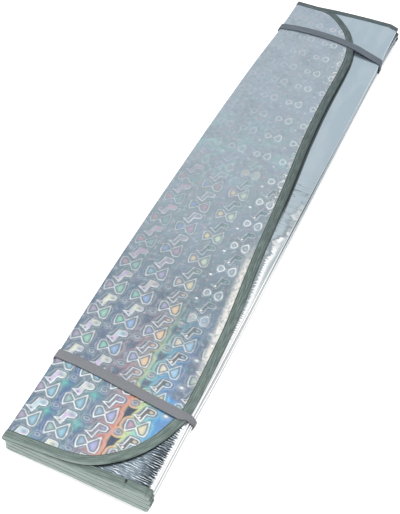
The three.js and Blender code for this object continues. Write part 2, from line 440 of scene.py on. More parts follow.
def make_sheet():
    tip = SHEET_EDGE[WIDEST][0] - TIP_GAP
    end_xs = [mix(-ARC_X, tip, math.sin(math.pi / 2 * k / END_STEPS)) for k in range(END_STEPS + 1)]
    stations = [end_s(x, 0) for x in reversed(end_xs)]
    stations += [STRAIGHT + ARC * k / FOLD_STEPS for k in range(1, FOLD_STEPS)]
    stations += fold_stations(1, PANELS - 1)
    stations += [end_s(x, PANELS - 1) for x in end_xs]
    cross = [k / LENGTH_STEPS for k in range(LENGTH_STEPS + 1)]
    rows, flats = [], []
    for s in stations:
        near, far = sheet_ends(s)
        face = [(s, mix(near, far, t), SHEET / 2) for t in cross]
        back = [(s, mix(near, far, t), -SHEET / 2) for t in reversed(cross)]
        rows.append([fold(p[0], p[1], p[2] + ripple(p[0], p[1])) for p in face + back])
        flats.append([flat_place(p[0], p[1]) for p in face + back + face[:1]])
    width = len(cross)
    piece = grid_mesh("foil_sheet", rows, flats, close_columns=True,
                      faces_material=lambda i, j: 0 if j < width else 1)
    ring_size = len(rows[0])
    walls = []
    for base in (0, (len(rows) - 1) * ring_size):
        for k in range(width - 1):
            wall = (base + k, base + k + 1, base + ring_size - 2 - k, base + ring_size - 1 - k)
            walls.append(wall if base == 0 else wall[::-1])
    close_ends(piece, walls)
    return piece


foil = make_sheet()
print("foil sheet:", len(foil.data.vertices), "vertices")

# %% [markdown]
# ## Binding tape
#
# The real tape is folded over the raw edge and sewn through. A bevelled curve could draw it, but a
# curve knows nothing of the folds, so its rounded cross-section is drawn along the edge line and
# folded with the sheet. A section point is its distance in from the edge and its height over the
# sheet's middle.

# %% Binding tape
TAPE_OUTSIDE = [
    (9.0, 0.78), (8.9, 0.98), (8.4, 1.04), (7.4, 1.08), (6.0, 1.12), (4.8, 1.08), (3.4, 1.13), (2.0, 1.10),
    (1.0, 1.06), (0.4, 0.92), (0.1, 0.6), (0.0, 0.2),
]
TAPE_INSIDE = [(8.9, -0.74), (1.0, -0.74), (0.6, -0.4), (0.6, 0.4), (1.0, 0.74), (8.9, 0.74)]


def make_tape():
    section = TAPE_OUTSIDE + [(d, -h) for d, h in reversed(TAPE_OUTSIDE)] + TAPE_INSIDE
    across = lengths_round(section)
    rows = []
    for i, (s, y) in enumerate(EDGE):
        out_s, out_y = right_of(EDGE[i - 1], EDGE[(i + 1) % len(EDGE)])
        rows.append([fold(s - d * out_s, y - d * out_y, h) for d, h in section])
    flats = [[(run, c) for c in across] for run in lengths_round(EDGE)]
    return grid_mesh("edge_tape", rows, flats, close_rows=True, close_columns=True)


tape = make_tape()
print("tape:", len(tape.data.vertices), "vertices")

# %% [markdown]
# The tape's end laps over its start on the second panel. It is a short piece of the same tape, laid
# over the top and the edge, with its cut end a little raised.

# %% Lapped end of the tape
LAP_TOP = [
    (9.4, -0.9), (9.2, -1.32), (8.4, -1.42), (6.6, -1.46), (4.8, -1.44), (2.6, -1.46), (1.0, -1.38),
    (0.2, -1.16), (-0.3, -0.8), (-0.4, -0.2), (-0.4, 0.5),
]
LAP_UNDER = [(0.05, 0.5), (0.1, -0.3), (0.4, -0.85), (1.0, -1.0), (4.8, -1.02), (8.4, -0.98), (9.1, -0.8)]
LAP_X = (43, 61)
LAP_STEPS = 12
LAP_LIFT = 0.5


def make_lap():
    section = LAP_TOP + LAP_UNDER
    rows, flats = [], []
    for k in range(LAP_STEPS + 1):
        s = end_s(mix(*LAP_X, k / LAP_STEPS), 1)
        y = -HALF_LENGTH + end_shift(s, -HALF_LENGTH)
        lift = LAP_LIFT * (1 - smooth(0, 0.4, k / LAP_STEPS))
        raised = [(d, h - lift * smooth(-0.4, 4, d)) for d, h in LAP_TOP] + LAP_UNDER
        rows.append([fold(s, y + d, h) for d, h in raised])
        flats.append([(s, LAP_TOP[0][0] - d) for d, h in section + section[:1]])
    lap = grid_mesh("tape_lap", rows, flats, close_columns=True)
    size = len(section)
    close_ends(lap, [tuple(range(size)), tuple(range(LAP_STEPS * size, (LAP_STEPS + 1) * size))])
    return lap


def merge(piece, extra):
    """Moves the extra object's faces into the piece."""
    made = bmesh.new()
    made.from_mesh(piece.data)
    made.from_mesh(extra.data)
    made.to_mesh(piece.data)
    made.free()
    bpy.data.objects.remove(extra)


merge(tape, make_lap())
print("tape with its lap:", len(tape.data.vertices), "vertices")

# %% [markdown]
# ## Elastic bands
#
# A stretched band takes the tightest way round the stack, so its line is worked out and not drawn:
# it is the convex hull of the folds and the bound edge, each rounded off. A physics simulation would
# find the same line.

# %% Tightest loop round the stack
HALF_RING = 24


def hull(points):
    """The convex hull of the points, anticlockwise."""
    points = sorted(set(points))

    def half(items):
        made = []
        for p in items:
            while len(made) > 1 and ((made[-1][0] - made[-2][0]) * (p[1] - made[-2][1])
                                     - (made[-1][1] - made[-2][1]) * (p[0] - made[-2][0])) <= 0:
                made.pop()
            made.append(p)
        return made[:-1]

    return half(points) + half(points[::-1])


def ring(x, z, radius):
    angles = [k * math.pi / HALF_RING for k in range(2 * HALF_RING)]
    return [(x + radius * math.cos(angle), z + radius * math.sin(angle)) for angle in angles]


def wrap(edge_x, y0, y1, offset):
    """The loop round the stack between two Ys, with the top and bottom panels' edge at edge_x."""
    low = TOP_Z - (PANELS - 1) * PITCH
    out = BEND + SHEET / 2 + offset
    left = -ARC_X - max(left_bow(y0), left_bow(y1))
    points = ring(left, TOP_Z - BEND, out) + ring(left, low + BEND, out)
    for number in range(len(RIGHT_REACH)):
        reach = max(fold_reach(number, y0), fold_reach(number, y1))
        points += ring(ARC_X + reach, TOP_Z - (2 * number + 1) * PITCH - BEND, out)
    for x, z in ((edge_x, TOP_Z + BOUND), (edge_x, low - BOUND), (left, low - BOUND)):
        points += ring(x, z, offset)
    return hull(points)


def resample(loop, spacing):
    """The same loop with more points, evenly spread on each side."""
    made = []
    for a, b in zip(loop, loop[1:] + loop[:1]):
        pieces = max(1, round(math.dist(a, b) / spacing))
        made += [(mix(a[0], b[0], k / pieces), mix(a[1], b[1], k / pieces)) for k in range(pieces)]
    return made


print("a ring has", len(ring(0, 0, 1)), "points")

# %% [markdown]
# Each band crosses the top askew, along a line of points, and returns straight underneath. Its soft,
# slightly rounded section rides on the loop. The near band is stretched narrower, and pinched where
# it turns over the edge.

# %% Elastic bands
NEAR_BAND = [
    (-70, -294.4), (-45, -296.2), (-20, -300), (5, -304.8), (30, -309.6), (50, -313.4), (75, -318.6),
]
FAR_BAND = [
    (-70, 328), (-50, 333.4), (-30, 336), (-10, 336), (10, 333.6), (30, 328.2), (50, 320.8), (75, 311),
]
NEAR_BAND_UNDER = (-294.4, -300)
FAR_BAND_UNDER = (328, 328)
NEAR_EDGE_X = 64.4
FAR_EDGE_X = 32.5
BAND_SECTION = [
    (-6.0, 0.15), (-5.8, 0.42), (-5.2, 0.5), (-2.5, 0.52), (0, 0.52), (2.5, 0.52), (5.2, 0.5), (5.8, 0.42),
    (6.0, 0.15), (6.0, -0.15), (5.7, -0.45), (0, -0.48), (-5.7, -0.45), (-6.0, -0.15),
]
BAND_HALF = 6
BAND_GAP = 0.7
BAND_SPACING = 3
STACK_HEIGHT = 26.2


def make_band(name, path, under, edge_x, upper=1.0, pinched=0.0):
    """A band. The upper share narrows its far half, and its near half is pinched at the edge."""
    line = spline(path)
    ys = [y for _, y in path]
    middle = resample(wrap(edge_x, min(ys) - BAND_HALF, max(ys) + BAND_HALF, BAND_GAP), BAND_SPACING)
    rows = []
    for i, (x, z) in enumerate(middle):
        nx, nz = right_of(middle[i - 1], middle[(i + 1) % len(middle)])
        over = outline_y(x, line, path[0][1])
        below = mix(under[0], under[1], clamp((x - path[0][0]) / (ARC_X - path[0][0])))
        y = mix(below, over, z / STACK_HEIGHT) + MOVE[1]
        turned = 1 - 0.3 * smooth(60, 66, x) * smooth(22, 8, z)
        pinch = 1 - pinched * smooth(56, 63, x) * smooth(4, 12, z)
        row = []
        for d, h in BAND_SECTION:
            width = turned * (pinch if d < 0 else upper)
            row.append(((x + h * nx + MOVE[0]) * MM, (y + d * width) * MM, (z + h * nz) * MM))
        rows.append(row)
    flats = [[(run, c) for c in lengths_round(BAND_SECTION)] for run in lengths_round(middle)]
    return grid_mesh(name, rows, flats, close_rows=True, close_columns=True)


near_band = make_band("near_band", NEAR_BAND, NEAR_BAND_UNDER, NEAR_EDGE_X, upper=0.76, pinched=0.55)
far_band = make_band("far_band", FAR_BAND, FAR_BAND_UNDER, FAR_EDGE_X)
print("bands:", len(near_band.data.vertices), "and", len(far_band.data.vertices), "vertices")

# %% [markdown]
# ## Camera
#
# The camera stands right of the near end and looks down the stack, as a photographer would who shows
# the top, the near end and the side folds at once.

# %% Camera
camera_data = bpy.data.cameras.new("camera")
camera_data.sensor_width = 36
camera_data.lens = 91.21
camera_data.clip_end = 50
camera = add_object("camera", camera_data)
camera.location = (0.24883, -1.02972, 0.82180)
camera.rotation_euler = Euler([math.radians(a) for a in (49.4268, -6.3102, 20.7211)])
bpy.context.scene.camera = camera
print("camera stands", round(camera.location.length, 2), "m from the stack's middle")

# %% [markdown]
# ## Shader maths
#
# A material is a graph of nodes. A small class wraps an output socket and overloads the plain
# operators, so a formula in the code adds its Math nodes by itself. One method of the finish adds
# any other node: its settings come first, then the values or links of its sockets.

# %% Shader maths
class Value:
    def __init__(self, finish, socket):
        self.finish = finish
        self.socket = socket

    def math(self, operation, *others):
        return self.finish.node("ShaderNodeMath", {"operation": operation}, dict(enumerate((self, *others))))

    def reflected(self, operation, other):
        return self.finish.node("ShaderNodeMath", {"operation": operation}, {0: other, 1: self})

    def __add__(self, other):
        return self.math("ADD", other)

    def __sub__(self, other):
        return self.math("SUBTRACT", other)

    def __rsub__(self, other):
        return self.reflected("SUBTRACT", other)

    def __mul__(self, other):
        return self.math("MULTIPLY", other)

    def __truediv__(self, other):
        return self.math("DIVIDE", other)

    def __rtruediv__(self, other):
        return self.reflected("DIVIDE", other)

    __radd__ = __add__
    __rmul__ = __mul__

    def power(self, exponent):
        return self.math("POWER", exponent)

    def sine(self):
        return self.math("SINE")

    def size(self):
        return self.math("ABSOLUTE")

    def least(self, other, softness=0.0):
        return self.math("SMOOTH_MIN", other, softness) if softness else self.math("MINIMUM", other)

    def most(self, other, softness=0.0):
        return self.math("SMOOTH_MAX", other, softness) if softness else self.math("MAXIMUM", other)

    def wrapped(self, pitch):
        """The distance to the nearest multiple of the pitch, with its sign."""
        return self.math("WRAP", pitch / 2, -pitch / 2)

    def step(self, start, end):
        """A soft step from 0 at the start to 1 at the end."""
        sockets = {0: self, 1: start, 2: end, 3: 0.0, 4: 1.0}
        return self.finish.node("ShaderNodeMapRange", {"interpolation_type": "SMOOTHSTEP"}, sockets)

    def bump_at(self, place, width):
        """A soft bump of height 1 round one value."""
        offset = (self - place) / width
        return 1 / (offset * offset + 1).power(2)


def length_of(x, y):
    return (x * x + y * y).power(0.5)


def linear(colour):
    """A colour as a screen shows it, 0 to 255, in the numbers that light adds up in."""
    return tuple(((c / 255 + 0.055) / 1.055) ** 2.4 for c in colour) + (1.0,)


print("mid grey in light's numbers:", round(linear((128, 128, 128))[0], 3))

# %% [markdown]
# One finish is one material. Its colours are written as a screen shows them, and its places come
# either from the flat material, which a weave or a pattern follows, or from the folded stack, which
# the light follows.

# %% Finish
class Finish:
    def __init__(self, name, roughness, metallic):
        self.material = bpy.data.materials.new(name)
        self.material.use_nodes = True
        self.tree = self.material.node_tree
        self.shader = self.tree.nodes["Principled BSDF"]
        self.shader.inputs["Roughness"].default_value = roughness
        self.shader.inputs["Metallic"].default_value = metallic

    def node(self, kind, settings=None, sockets=None, output=0):
        made = self.tree.nodes.new(kind)
        for name, value in (settings or {}).items():
            if name == "stops":
                ramp = made.color_ramp.elements
                while len(ramp) < len(value):
                    ramp.new(0.5)
                for element, (place, colour) in zip(ramp, value):
                    element.position, element.color = place, colour
            else:
                setattr(made, name, value)
        for key, value in (sockets or {}).items():
            if isinstance(value, Value):
                self.tree.links.new(value.socket, made.inputs[key])
            else:
                made.inputs[key].default_value = value
        return Value(self, made.outputs[output])

    def ramp(self, value, stops):
        """Colours along a value, given as stops of a place and a screen colour."""
        painted = [(place, linear(colour)) for place, colour in stops]
        return self.node("ShaderNodeValToRGB", {"stops": painted}, {0: value})

    def blend(self, share, first, second, kind="MIX"):
        """Mixes two colours. Each is a value or a screen colour."""
        first, second = (linear(c) if isinstance(c, tuple) else c for c in (first, second))
        settings = {"data_type": "RGBA", "blend_type": kind, "clamp_result": False}
        return self.node("ShaderNodeMix", settings, {0: share, 6: first, 7: second}, output=2)

    def flat(self):
        """U and V of the flat pattern in millimetres."""
        uv = self.node("ShaderNodeUVMap", {"uv_map": "flat"})
        return self.split(uv)

    def place(self):
        """X, Y and Z on the folded stack in millimetres, before the stack was centred."""
        x, y, z = self.split(self.node("ShaderNodeTexCoord", output="Object"), 3)
        return x - MOVE[0], y - MOVE[1], z

    def split(self, vector, count=2):
        separate = self.node("ShaderNodeSeparateXYZ", None, {0: vector}).socket.node
        return [Value(self, separate.outputs[i]) / MM for i in range(count)]

    def noise(self, x, y, z=0.0, detail=2.0):
        vector = self.node("ShaderNodeCombineXYZ", None, {0: x, 1: y, 2: z})
        return self.node("ShaderNodeTexNoise", None, {"Vector": vector, "Scale": 1.0, "Detail": detail})

    def finish(self, colour=None, height=None, relief=0.3, roughness=None):
        if colour is not None:
            self.tree.links.new(colour.socket, self.shader.inputs["Base Color"])
        if roughness is not None:
            self.tree.links.new(roughness.socket, self.shader.inputs["Roughness"])
        if height is not None:
            bump = self.node("ShaderNodeBump", None, {"Strength": relief, "Distance": MM, "Height": height})
            self.tree.links.new(bump.socket, self.shader.inputs["Normal"])
        return self.material


print("finish ready")


# %% [markdown]
# ## Laser foil
#
# Laser foil is pressed with fine grooves that split light, so each small figure in it shines in its
# own colour and the ground between them glows in bands. The figures repeat on a lattice. Each one is
# drawn as a distance to its outline, in millimetres. The distance then gives the white rim, the dark
# line and the fill. A picture of the foil would do too, but distances stay sharp at any size. The
# hue comes from the place on the stack, because the grooves turn the colour with the angle to the
# light.

# %% Distances to simple outlines
def polygon(x, y, corners, softness=2.0):
    """Distance outside a polygon whose corners go anticlockwise."""
    distance = None
    for (x0, y0), (x1, y1) in zip(corners, corners[1:] + corners[:1]):
        size = math.hypot(x1 - x0, y1 - y0)
        nx, ny = (y1 - y0) / size, (x0 - x1) / size
        side = x * nx + y * ny - (x0 * nx + y0 * ny)
        distance = side if distance is None else distance.most(side, softness)
    return distance


def rod(x, y, start, end, radius):
    """Distance outside a rod with round ends."""
    bx, by = end[0] - start[0], end[1] - start[1]
    size = bx * bx + by * by
    px, py = x - start[0], y - start[1]
    share = (px * (bx / size) + py * (by / size)).most(0.0).least(1.0)
    return length_of(px - share * bx, py - share * by) - radius


def oval(x, y, centre, width, height):
    """Grows from 0 at the middle of an oval to 1 at its rim."""
    return length_of((x - centre[0]) / (width / 2), (y - centre[1]) / (height / 2))


print("outline helpers ready")


# %% [markdown]
# The lattice has four kinds of place: a bow tie, a boot, a small oval, and a star where
# the glow is brightest. Rows sway and lean a little, as film does when it is laminated. Places in a
# cell are in millimetres from the figure's middle.

# %% Figures on the lattice
TURN = 2 * math.pi
COLUMN = 28.8
ROW = 36.54
FIRST_ROW_Y = 320
SWAY = 694  # length over which the rows sway once
BOW_LEFT = [(-9.6, 4.6), (-9.2, -4.0), (-7.2, -8.4), (0.9, 0.0), (-5.4, 6.6)]
BOW_RIGHT = [(-0.9, 0.0), (4.6, -7.4), (9.4, -6.4), (10.4, -1.0), (7.6, 11.6)]
BOOT_HEAD = [(-1.7, 7.4), (-2.4, 1.4), (2.6, 0.0), (7.0, 1.6), (7.4, 5.8), (5.6, 7.4)]
BOOT_FOOT = [(-8.2, -5.6), (-1.0, -9.6), (0.2, -5.0), (-3.0, -3.6)]


def lattice(film):
    """The place of a point inside the cell of each kind of figure."""
    u, y = film.flat()
    x = ARC_X - u
    down = (FIRST_ROW_Y - y) * 0.997
    drift = (down * (TURN / SWAY)).sine() * 4.2
    lean = (down / SWAY).most(0.0).least(1.0) * 0.078
    row = x * lean - down - drift
    across = x + 58 - x.step(-38, -50) * 2.2
    at = SimpleNamespace(u=u, y=y, row=row)
    at.bow_x, at.bow_y = across.wrapped(COLUMN), row.wrapped(ROW)
    at.boot_x, at.boot_y = (across - 1.3).wrapped(COLUMN), (row + 19.1).wrapped(ROW)
    at.dot_x, at.dot_y = (across + 11.5).wrapped(COLUMN), (row + 12.5).wrapped(ROW)
    at.star_x, at.star_y = (across - 12).wrapped(COLUMN), (row + 22).wrapped(ROW)
    return at


def figures(film):
    """Distances to the figures' outlines, and a smoother one that the rainbow bands follow."""
    at = lattice(film)
    left = polygon(at.bow_x, at.bow_y, BOW_LEFT, 2.0)
    right = polygon(at.bow_x, at.bow_y, BOW_RIGHT, 2.0)
    head = polygon(at.boot_x, at.boot_y, BOOT_HEAD, 1.6)
    leg = rod(at.boot_x, at.boot_y, (-0.4, 2.4), (-2.0, -4.6), 1.9)
    foot = polygon(at.boot_x, at.boot_y, BOOT_FOOT, 1.0)
    at.bow = left.least(right)
    at.boot = head.least(leg, 0.8).least(foot, 0.8)
    at.dot = length_of(at.dot_x / 1.15, at.dot_y * 1.1) - 2.3
    at.outside = at.bow.least(at.boot, 2.0).least(at.dot, 1.6)
    flow = rod(at.bow_x, at.bow_y, (-6.4, -2.6), (-6.0, 1.6), 3.8)
    flow = flow.least(rod(at.bow_x, at.bow_y, (6.4, -2.6), (7.0, 5.0), 3.6), 3.0)
    flow = flow.least(rod(at.boot_x, at.boot_y, (0.6, 4.2), (4.6, 4.0), 3.5), 3.0)
    flow = flow.least(rod(at.boot_x, at.boot_y, (-0.5, 2.0), (-3.6, -6.2), 2.6), 3.0)
    at.flow = flow.least(length_of(at.dot_x, at.dot_y) - 2.4, 2.0)
    return at


print("lattice of", COLUMN, "by", ROW, "mm")

# %% [markdown]
# The light changes along the stack. The near part glows, the middle part shows soft coloured
# figures, and the far part only pale rings. Past the near band the sheet tilts a little, so the
# colours move along. On the real foil the zones would follow the eye. Here they keep to the stack,
# which every renderer can show.

# %% Zones of light
GLOW_Y = (-100, -215)
GLOW_DELAY = 45  # how much later the glow starts in the last column
RINGS_Y = (-35, 75)
BAND_Y = (-297, -304)


def zones(film):
    x, y, _ = film.place()
    near, far = (y + x.step(4, 18) * GLOW_DELAY).step(*GLOW_Y), y.step(*RINGS_Y)
    past_band = y.step(*BAND_Y)
    return SimpleNamespace(x=x, y=y, near=near, far=far, middle=(1 - near - far).most(0.0),
                           past_band=past_band, light=x - past_band * 13, right=x.step(-65, 35))


print("glow from Y", GLOW_Y[0], "to", GLOW_Y[1], "mm")

# %% [markdown]
# The ground between the figures is a metal grey that darkens towards the near end, clouded and
# flecked with faint tints. Noise textures give those, stretched along the stack.

# %% Grey ground
FLECKS = ((3, (186, 156, 168)), (9, (122, 170, 166)), (15, (116, 126, 140)), (21, (186, 198, 206)))


def grey_ground(film, at, zone):
    grey = film.ramp(zone.y.step(-420, 380), [
        (0.0, (90, 104, 118)), (0.22, (106, 121, 131)), (0.36, (130, 144, 152)),
        (0.55, (146, 158, 167)), (1.0, (156, 170, 181))])
    cloud = film.noise(zone.x / 26, zone.y / 40, detail=3)
    ground = film.blend(cloud.step(0.4, 0.7) * 0.35, grey, (122, 136, 148))
    mauve = film.noise(zone.x / 34 + 6, zone.y / 70, detail=1).step(0.45, 0.62) * (1 - zone.near)
    ground = film.blend(mauve * 0.2, ground, (150, 166, 190))
    green = film.noise(zone.x / 18, zone.y / 26 + 9, detail=2).step(0.46, 0.62) * zone.y.bump_at(60, 90)
    ground = film.blend(green * 0.3, ground, (142, 190, 184))
    for seed, tint in FLECKS:
        fleck = film.noise(at.u / 4 + seed, at.y / 7, detail=3).step(0.52, 0.70)
        ground = film.blend(fleck * 0.3, ground, tint)
    cool = at.star_x.bump_at(5.5, 5.0) * zone.near * (1 - zone.right)
    return film.blend(cool * (0.28 + zone.past_band * 0.5), ground, (58, 84, 140)), cloud


# %% [markdown]
# Where the lamp's light is split towards the eye, bands of rainbow colour run between the figures. A
# ramp across the stack holds the spectrum. The distance to the figures shifts it, so the bands bend
# round them, and dark pools stay between.

# %% Rainbow bands
def rainbow(film, at, zone, ground):
    contour = at.flow.bump_at(3.0, 1.7)
    wander = (at.row * (TURN / ROW)).sine() * 1.1
    streak = (at.star_x + wander).bump_at(0, 2.6)
    broad = zone.light.step(20, 32) * (0.1 + zone.y.step(-230, -290) * 0.35 + zone.past_band * 0.35)
    mask = contour.most(streak).most(broad)
    strength = zone.light.step(-34, -14) * 0.3 + zone.light.step(4, 14) * 0.36
    strength = (strength + zone.past_band * zone.light.step(-18, -6) * 0.6).least(0.95)
    strength = strength * (1 - zone.light.step(34, 46) * 0.7) * zone.y.step(-150, -290)
    spectrum = film.ramp((zone.light + at.flow * 1.2) / 100 + 0.39, [
        (0.06, (132, 132, 146)), (0.26, (164, 130, 136)), (0.36, (190, 118, 114)), (0.42, (200, 138, 114)),
        (0.475, (202, 170, 120)), (0.53, (180, 196, 140)), (0.60, (124, 188, 184)), (0.67, (98, 166, 198)),
        (0.76, (80, 144, 198)), (0.86, (108, 132, 184)), (1.0, (136, 146, 166))])
    ground = film.blend(mask * strength, ground, spectrum)
    open_ground = at.flow.step(3.4, 4.8) * at.star_x.step(0.8, 2.6) * at.star_x.step(12, 9)
    dark = open_ground * zone.light.step(-24, -6) * zone.light.step(26, 16) * (0.3 + zone.past_band * 0.55)
    return film.blend(dark * zone.near, ground, (52, 64, 84))


# %% [markdown]
# Three small things finish the ground: soft teal stars past the near band, bright painted glints
# along the tape of the far half, and a thin pale line round the figures.

# %% Stars and sparks
def sparkle(film, at, zone, ground):
    star = 1 / (1 + (at.star_x.size().power(0.6) + at.star_y.size().power(0.6)).power(3) * 0.045)
    teal = star * zone.past_band * zone.light.step(-12, -24)
    ground = film.blend(teal * 0.7, ground, (96, 182, 172))
    beside_tape = (zone.x - (38 - zone.y * 0.045)).step(-9, -1) * zone.y.step(-60, 0)
    # painted glints: small bright warm-white spots of light beside the tape of the far half
    painted_glint = film.noise(at.u / 2.2, at.y / 3.4 + 30, detail=1).step(0.56, 0.64)
    ground = film.blend(painted_glint * beside_tape * 0.85, ground, (238, 236, 220))
    return film.blend(at.flow.bump_at(1.9, 0.7) * zone.near * 0.24, ground, (196, 204, 212))


# %% [markdown]
# The figures' middles shine in one hue each, which changes from column to column. Two ramps hold the
# hues of the bow ties' left and right wings by the near end, and two more hold them farther up.

# %% Colour of the figures' shining middles
def shine_colour(film, at, zone):
    away = zone.middle + zone.far
    light = (zone.light + 62) / 100
    left_near = film.ramp(light, [
        (0.0, (148, 138, 160)), (0.26, (122, 176, 160)), (0.50, (134, 144, 178)), (0.60, (148, 146, 178)),
        (0.74, (164, 132, 150)), (0.88, (206, 204, 180))])
    left_away = film.ramp(light, [
        (0.0, (172, 142, 150)), (0.30, (128, 152, 194)), (0.60, (216, 196, 150)), (0.86, (176, 198, 212))])
    right_near = film.ramp(light, [
        (0.0, (122, 160, 178)), (0.12, (128, 172, 154)), (0.28, (120, 160, 186)), (0.42, (128, 150, 190)),
        (0.54, (144, 146, 188)), (0.68, (206, 176, 140)), (0.82, (202, 192, 156)), (0.96, (138, 174, 202))])
    right_away = film.ramp(light, [
        (0.08, (126, 162, 168)), (0.38, (168, 142, 162)), (0.68, (186, 206, 182)), (0.96, (160, 176, 190))])
    left = film.blend(away, left_near, left_away)
    right = film.blend(away, right_near, right_away)
    shine = film.blend(at.bow_x.step(-1, 1), left, right)
    return film.blend(zone.x.step(36, 42) * zone.near * 0.8, shine, (132, 154, 158))


# %% [markdown]
# Every figure is painted from the outside in: a dark line, the fill, the shining middle, and last
# the white rim, which glints in places. Bow ties come first. Far up the stack only two rings are left
# of each.

# %% Bow ties
DARK_LINE = (72, 82, 90)


def glint(film, at, seed):
    """Share of the rim that shines, from 0.6 to 1.1."""
    return film.noise(at.u / 7, at.y / 7 + seed, detail=1).step(0.3, 0.62) * 0.5 + 0.6


def bows(film, at, zone, colour, shine):
    pale = (228, 234, 234)
    near, middle, far, right = zone.near, zone.middle, zone.far, zone.right
    last = zone.x.step(4, 18)
    ovals = oval(at.bow_x, at.bow_y, (-5.7, -0.8), 6.6, 8.6)
    ovals = ovals.least(oval(at.bow_x, at.bow_y, (5.8, 0.2), 7.4, 11.4))
    ovals = ovals * 0.5 + at.bow * 0.139 + 0.775
    colour = film.blend(at.bow.bump_at(1.3, 0.7) * (near * 0.45 + middle * 0.2), colour, DARK_LINE)
    inner = at.bow.step(-0.3, -1.2) * near * 0.7 + at.bow.bump_at(-0.9, 0.8) * middle * 0.4
    colour = film.blend(inner, colour, (102, 114, 118))
    middles = at.bow.step(-1.3, -2.5) * near * 0.92
    soft = ovals.step(1.05, 0.55) * (middle * (0.75 - last * 0.5) + far * 0.05)
    colour = film.blend(middles + soft, colour, shine)
    core = at.bow.step(-2.6, -4.2) * near * 0.16 + ovals.step(0.6, 0.1) * middle * right * 0.35
    colour = film.blend(core, colour, (212, 222, 224))
    shining = glint(film, at, 3)
    line = near * (0.54 + zone.past_band * 0.16) + middle * (0.24 + right * 0.26) * (1 - last * 0.85)
    colour = film.blend(at.bow.bump_at(0, 0.75) * line * shining, colour, pale)
    rings = ovals.bump_at(1.05, 0.2) * (far * (0.12 + right * 0.5) + middle * last * 0.9) * shining
    return film.blend(rings, colour, pale)


# %% [markdown]
# The boots are pale on the left of the stack and dark on its right. Each has an eye in its head and
# a bright spot in its heel.

# %% Boots
def boot_fill(film, zone, is_pale):
    hue = film.noise(zone.x / 21, zone.y / 30 + 4, detail=0)
    hue = hue + zone.x.step(-48, -32) * 0.05 + zone.past_band * 0.04
    pastel = film.ramp(hue, [
        (0.38, (174, 196, 204)), (0.46, (204, 172, 202)), (0.54, (176, 170, 208)), (0.62, (206, 208, 184))])
    pastel = film.blend(zone.middle * 0.8, pastel, (204, 158, 186))
    brown = film.blend(zone.x.step(6, 18), (124, 122, 132), (94, 92, 90))
    brown = film.blend(zone.middle * 0.75, brown, (92, 124, 122))
    return film.blend(is_pale, brown, pastel)


def boots(film, at, zone, colour, shine):
    near, middle, right = zone.near, zone.middle, zone.right
    is_pale = zone.x.step(-8, -20)
    fill = boot_fill(film, zone, is_pale)
    colour = film.blend(at.boot.bump_at(1.3, 0.7) * (near * 0.45 + middle * 0.2), colour, DARK_LINE)
    colour = film.blend(at.boot.step(-0.3, -1.1) * near * 0.85, colour, fill)
    thin = at.boot.step(-0.7, -1.5) * middle * (zone.x.step(-40, 10) * 0.7 + zone.x.step(-38, -48) * 0.45)
    colour = film.blend(thin, colour, fill)
    rim = 0.22 + zone.x.bump_at(-24, 22) * 0.3
    line = near * (0.64 + zone.past_band * 0.2) + middle * rim + zone.far * 0.04
    colour = film.blend(at.boot.bump_at(0, 0.7) * line * glint(film, at, 8), colour, (226, 230, 232))

    eye = oval(at.boot_x, at.boot_y, (3.6, 3.9), 4.2, 3.4)
    inside = film.blend(is_pale * 0.6 + 0.2, shine, (124, 140, 164))
    colour = film.blend(eye.bump_at(1.3, 0.3) * near * is_pale * 0.4, colour, (120, 126, 136))
    colour = film.blend(eye.step(1.2, 0.6) * (near * 0.8 + middle * (0.1 + right * 0.25)), colour, inside)
    heel = oval(at.boot_x, at.boot_y, (-3.2, -6.2), 2.6, 2.6)
    last = zone.x.step(12, 22)
    tip = film.blend(last, (96, 110, 116), (238, 226, 224))
    return film.blend(heel.step(1.2, 0.5) * (near * 0.75 + middle * last * 0.9), colour, tip)


# %% [markdown]
# The small ovals fill the gaps of the lattice. They are the plainest figure: a dark line, a grey
# fill, a pale rim and a white spot in the middle.

# %% Small ovals
def dots(film, at, zone, colour):
    near, middle, far = zone.near, zone.middle, zone.far
    white = zone.x.bump_at(17, 7) * middle
    ball = zone.x.step(34, 40) * near
    colour = film.blend(at.dot.bump_at(1.1, 0.5) * near * 0.3, colour, (84, 92, 98))
    colour = film.blend(at.dot.step(0.0, -0.8) * near * 0.45, colour, (126, 132, 142))
    colour = film.blend(at.dot.bump_at(-0.1, 0.6) * near * 0.45, colour, (204, 212, 212))
    colour = film.blend(at.dot.step(1.2, 0.2) * ball * 0.8, colour, (150, 160, 168))
    share = (white * 0.85 + ball * 0.7 + middle * 0.14 + far * (0.12 + zone.right * 0.25)).least(0.9)
    return film.blend(at.dot.step(-0.5, -1.5) * share, colour, (226, 232, 234))


# %% [markdown]
# The whole patterned face is the ground with the figures on it, then a mottled cream painted
# highlight beside the tape, where the face starts to turn away. The figures are pressed a little into
# the film, and a bump shows that.

# %% Laser foil
def laser_foil():
    film = Finish("laser_foil", roughness=0.34, metallic=0.45)
    at, zone = figures(film), zones(film)
    ground, cloud = grey_ground(film, at, zone)
    colour = sparkle(film, at, zone, rainbow(film, at, zone, ground))
    shine = shine_colour(film, at, zone)
    colour = bows(film, at, zone, colour, shine)
    colour = boots(film, at, zone, colour, shine)
    colour = dots(film, at, zone, colour)
    edge = 44.2 + (zone.y + 90) * -0.078
    # painted highlight: a mottled cream strip of light beside the tape's inner edge
    painted_highlight = (zone.x - edge).step(-9, -3) * zone.y.step(-70, -120) * zone.y.step(-300, -230)
    mottle = film.noise(at.u / 2.2, at.y / 5, detail=2).step(0.36, 0.56) * 0.45 + 0.4
    colour = film.blend(painted_highlight * mottle, colour, (224, 221, 214))
    grain = film.noise(at.u / 1.1, at.y / 1.1, detail=1)
    colour = film.blend(0.16, colour, grain, "OVERLAY")
    height = at.outside.step(1.2, -1.0) * 0.25 + cloud * 0.6
    return film.finish(colour, height, 0.5, roughness=0.30 + cloud * 0.12)


foil.data.materials.append(laser_foil())
print("laser foil painted")
